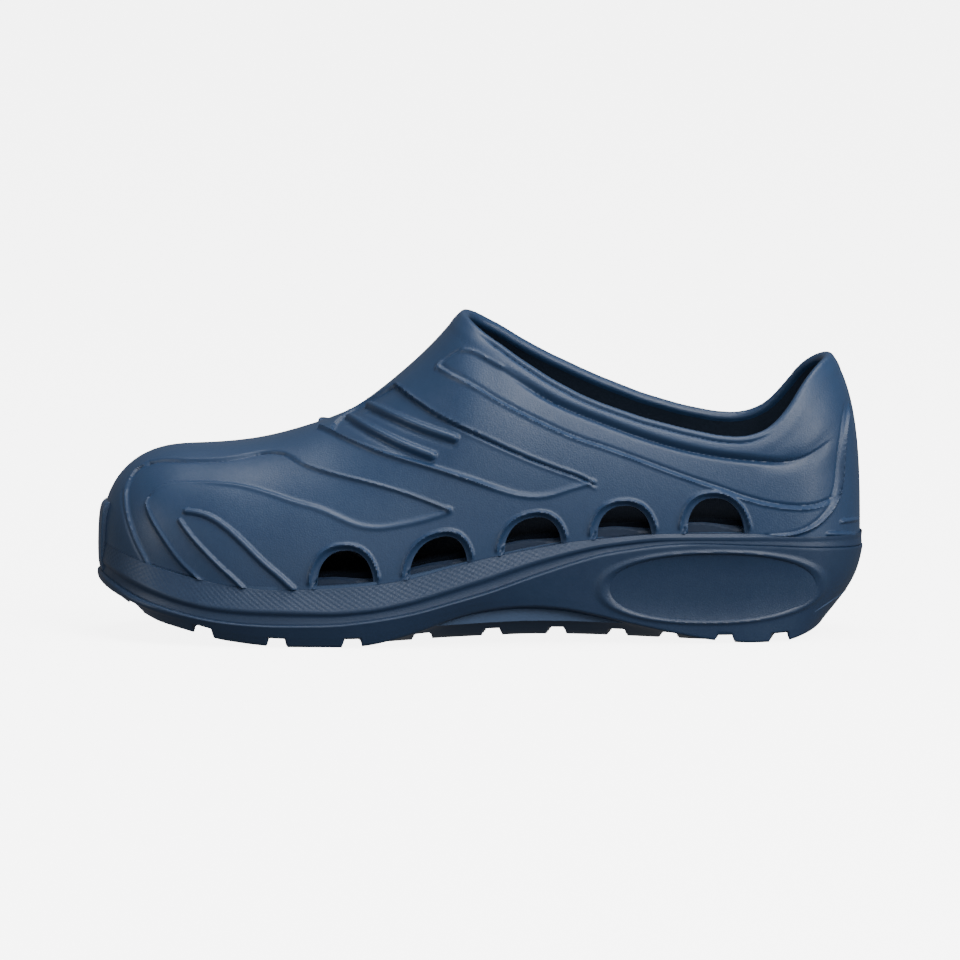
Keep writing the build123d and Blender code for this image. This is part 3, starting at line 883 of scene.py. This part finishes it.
# Toe bumper: an upright guard over the tip of the toe, from the tread to the top of the cap
BUMPER_HALF_WIDTH = 12.0
BUMPER_ROUND = 0.8
BUMPER_THICKNESS = 2.6
BUMPER_SPACING = 0.45
bumper_line = along([(2.7, 48.6), (1.6, 47.6), (0.9, 45.4), (0.4, 41), (0.2, 35), (0.2, 29), (0.5, 25),
                     (1.7, 21.8), (3.2, 19), (5.0, 16.2), (7.0, 14.4), (9.0, 13.6)], BUMPER_SPACING)
from_tip = np.minimum(ring_length, ring_length[-1] + 0.6 - ring_length)
to_side = np.repeat(BUMPER_HALF_WIDTH - from_tip[:, None], len(bumper_line), axis=1)
place = np.arange(len(bumper_line))
to_end = BUMPER_SPACING * np.minimum(place, place[::-1])[None, :] + 0.2
to_border = np.minimum(to_side, to_end)
sunk = BUMPER_ROUND * (1 - np.sqrt(1 - np.clip(1 - to_border / BUMPER_ROUND, 0, 1) ** 2))
bumper_in = bumper_line[None, :, 0] + sunk
bumper_z = np.broadcast_to(bumper_line[None, :, 1], bumper_in.shape)
bumper_front = ring_surface(bumper_in, bumper_z)
bumper_back = ring_surface(bumper_in + BUMPER_THICKNESS, bumper_z)
shell("toe_bumper", to_side, bumper_front, bumper_back, navy_upper, ["toe_bumper"],
      zipped=False)

# Heel pads: a shallow oval inset in each side of the heel
PAD_REACH = 0.985  # of the oval's outline
PAD_RIM_DEPTH, PAD_DEPTH, PAD_BACK = 0.1, 1.4, 1.8  # under the wall: the rim, the middle, the back
wall_side = wall[side]


def wall_y(x, z, lateral):
    """Y of the sole's wall at (x, z) on one side."""
    columns = wall_side if lateral else wall[(-np.arange(SIDE_COLUMNS + 1)) % COLUMNS]
    y = np.empty_like(x)
    upright = columns[:, FIRST_WALL_ROW:FIRST_WALL_ROW + WALL_ROWS + GAP_ROWS]
    column_x = columns[:, 20, 0]
    for k in range(x.size):
        c = np.searchsorted(column_x, x.flat[k])
        share = (x.flat[k] - column_x[c - 1]) / (column_x[c] - column_x[c - 1])
        before, after = [np.interp(-z.flat[k], -upright[n, :, 2], upright[n, :, 1]) for n in (c - 1, c)]
        y.flat[k] = before + (after - before) * share
    return y


def heel_pad(name, lateral):
    """A dished oval plate let into one side of the heel, as rings of points round its middle."""
    spokes, rings = 160, 18
    angle = np.linspace(0, 2 * math.pi, spokes, endpoint=False)[:, None]
    reach = np.linspace(0, PAD_REACH, rings + 1)[None, 1:]
    power = 2 / PAD_POWER
    x = PAD_X + PAD_LONG * reach * np.sign(np.cos(angle)) * np.abs(np.cos(angle)) ** power
    z = PAD_Z + PAD_TALL * reach * np.sign(np.sin(angle)) * np.abs(np.sin(angle)) ** power
    y = wall_y(x, z, lateral)
    out = -1 if lateral else 1
    dish = PAD_RIM_DEPTH + (PAD_DEPTH - PAD_RIM_DEPTH) * (1 - reach ** 3)
    front = np.stack([x, y - out * dish, z], axis=2)
    back = np.stack([x, y - out * PAD_BACK, z], axis=2)
    middle_y = wall_y(np.array([PAD_X]), np.array([PAD_Z]), lateral)[0]
    middles = [[PAD_X, middle_y - out * depth, PAD_Z] for depth in (PAD_DEPTH, PAD_BACK)]
    points = [*front.reshape(-1, 3), *back.reshape(-1, 3), *middles]
    count = spokes * rings
    faces = []
    for k in range(spokes):
        n = (k + 1) % spokes
        for r in range(rings - 1):
            a, b, c, d = k * rings + r, k * rings + r + 1, n * rings + r + 1, n * rings + r
            faces.append([a, b, c, d])
            faces.append([d + count, c + count, b + count, a + count])
        faces.append([2 * count, k * rings, n * rings])
        faces.append([2 * count + 1, n * rings + count, k * rings + count])
        a, b = k * rings + rings - 1, n * rings + rings - 1
        faces.append([a, a + count, b + count, b])
    if not lateral:
        faces = [face[::-1] for face in faces]
    return new_piece(name, points, faces, navy_sole, [name])


heel_pad("heel_pad_lateral", True)
heel_pad("heel_pad_medial", False)

# ---------------------------------------------------------------- the footbed

HEEL_CUP = 5.0  # how far the footbed turns up on the heel's medial side
VENT_DIP = 2.6  # how far the footbed's rim sinks along each vent, towards the heel


def footbed(name, gap, low, high, cup, material):
    """A flat layer inside the upper whose rim turns up a little at the heel."""
    plan_in = ledge_in + WALL + gap
    rim_plan = inset(plan_in)
    middle = np.column_stack([ridge_x(at_x), ridge_y(at_x)])
    share = (np.linspace(0, 1, 71) ** 0.9)[None, :, None]
    top_plan = rim_plan[:, None, :] * (1 - share) + middle[:, None, :] * share
    from_rim = np.linalg.norm(top_plan - rim_plan[:, None, :], axis=2)
    heel_cup = HEEL_CUP * ease(top_plan[..., 1], 5, 25) * ease(top_plan[..., 0], 30, 60)
    raised = (cup + heel_cup) * np.exp(-from_rim / 7) - 1.8 * np.exp(-((from_rim / 1.7) ** 2))
    for middle, half_width, _, _ in VENTS:
        falling = ease(top_plan[..., 0], middle - 0.6 * half_width, middle + half_width)
        rising = ease(top_plan[..., 0], middle + half_width + 1, middle + half_width + 6)
        raised -= VENT_DIP * (falling - rising) * np.exp(-(from_rim + gap) / 4)
    top = np.concatenate([top_plan, (deck(top_plan[..., 0]) + high + raised)[..., None]], axis=2)
    under = np.concatenate([top_plan, (deck(top_plan[..., 0]) + low)[..., None]], axis=2)
    for sheet in (top, under):
        sheet[:, -1] = (sheet[:, -1] + sheet[mirror, -1]) / 2
    full = np.ones(top.shape[:2])
    return shell(name, full, top, under, material, [name])


footbed("insole", 0.3, 0.0, 4.2, 0.4, footbed_foam)
footbed("insole_cover", 1.6, 4.25, 5.0, 0.4, sock_cloth)

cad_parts["midsole"].data.materials.clear()
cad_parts["midsole"].data.materials.append(core_foam)

# ---------------------------------------------------------------- studio

SENSOR, LENS = 36, 615.5  # a long lens: it sees 351 mm across from where the side drawing is made

def paper_sweep():
    """A pale paper floor that turns up, far away, into a wall all round."""
    paper = Finish("pale_paper")
    tooth = paper.noise(40.0, 2.0)
    paper.shape(Base_Color=paper.blend(tooth, (0.78, 0.78, 0.78), (0.8, 0.8, 0.8)), Roughness=0.9,
                Emission_Color=(1, 1, 1, 1), Emission_Strength=5.6)
    bend = np.linspace(0, math.pi / 2, 16)
    radii = np.concatenate([[4.0], 9 + 3 * np.sin(bend), [12.0]])
    heights = np.concatenate([[0.0], 3 - 3 * np.cos(bend), [12.0]])
    spin = np.linspace(0, 2 * math.pi, 96, endpoint=False)
    rings = zip(radii, heights)
    points = [(0, 0, 0)] + [(r * math.cos(a), r * math.sin(a), z) for r, z in rings for a in spin]
    count = len(spin)
    faces = [[0, 1 + k, 1 + (k + 1) % count] for k in range(count)]
    for ring in range(len(radii) - 1):
        low = 1 + ring * count
        faces += [[low + k, low + count + k, low + count + (k + 1) % count, low + (k + 1) % count]
                  for k in range(count)]
    mesh = bpy.data.meshes.new("paper_sweep")
    mesh.from_pydata(points, [], faces)
    mesh.shade_smooth()
    mesh.materials.append(paper.material)
    sweep = bpy.data.objects.new("paper_sweep", mesh)
    sweep.visible_diffuse = sweep.visible_glossy = False
    bpy.context.scene.collection.objects.link(sweep)


def lamp(name, place, size, power):
    """A square soft box that faces the clog."""
    light = bpy.data.lights.new(name, "AREA")
    light.size, light.energy = size, power
    holder = bpy.data.objects.new(name, light)
    holder.location = place
    holder.rotation_euler = (Vector((0, 0, 0.05)) - Vector(place)).to_track_quat("-Z", "Y").to_euler()
    bpy.context.scene.collection.objects.link(holder)


def studio():
    """The paper, a broad light above, weaker ones in front and at both ends, and a camera at the side."""
    paper_sweep()
    lamp("overhead", (0.1, 0.0, 1.6), 1.0, 21)
    lamp("front_key", (0.9, -1.35, 1.45), 1.2, 47)
    lamp("toe_fill", (-1.8, -0.8, 0.6), 0.9, 9)
    lamp("heel_fill", (1.9, -0.9, 0.5), 0.9, 22)
    lamp("floor_card", (-0.2, -1.3, 0.08), 0.6, 1.6)
    world = bpy.data.worlds.new("studio_air")
    world.use_nodes = True
    world.node_tree.nodes["Background"].inputs[0].default_value = (1, 1, 1, 1)
    world.node_tree.nodes["Background"].inputs[1].default_value = 0.22
    bpy.context.scene.world = world
    camera = bpy.data.cameras.new("camera")
    camera.sensor_width, camera.lens = SENSOR, LENS
    camera.clip_end = 50
    holder = bpy.data.objects.new("camera", camera)
    aim_z = (AIM_HEIGHT - NEAR_EDGE * math.sin(SIDE_TILT)) / math.cos(SIDE_TILT)
    target = Vector((0, 0, aim_z / 1000))
    holder.location = target + Vector((0, -math.cos(SIDE_TILT), math.sin(SIDE_TILT))) * DRAWN_FROM / 1000
    holder.rotation_euler = (target - holder.location).to_track_quat("-Z", "Y").to_euler()
    bpy.context.scene.collection.objects.link(holder)
    bpy.context.scene.camera = holder


studio()
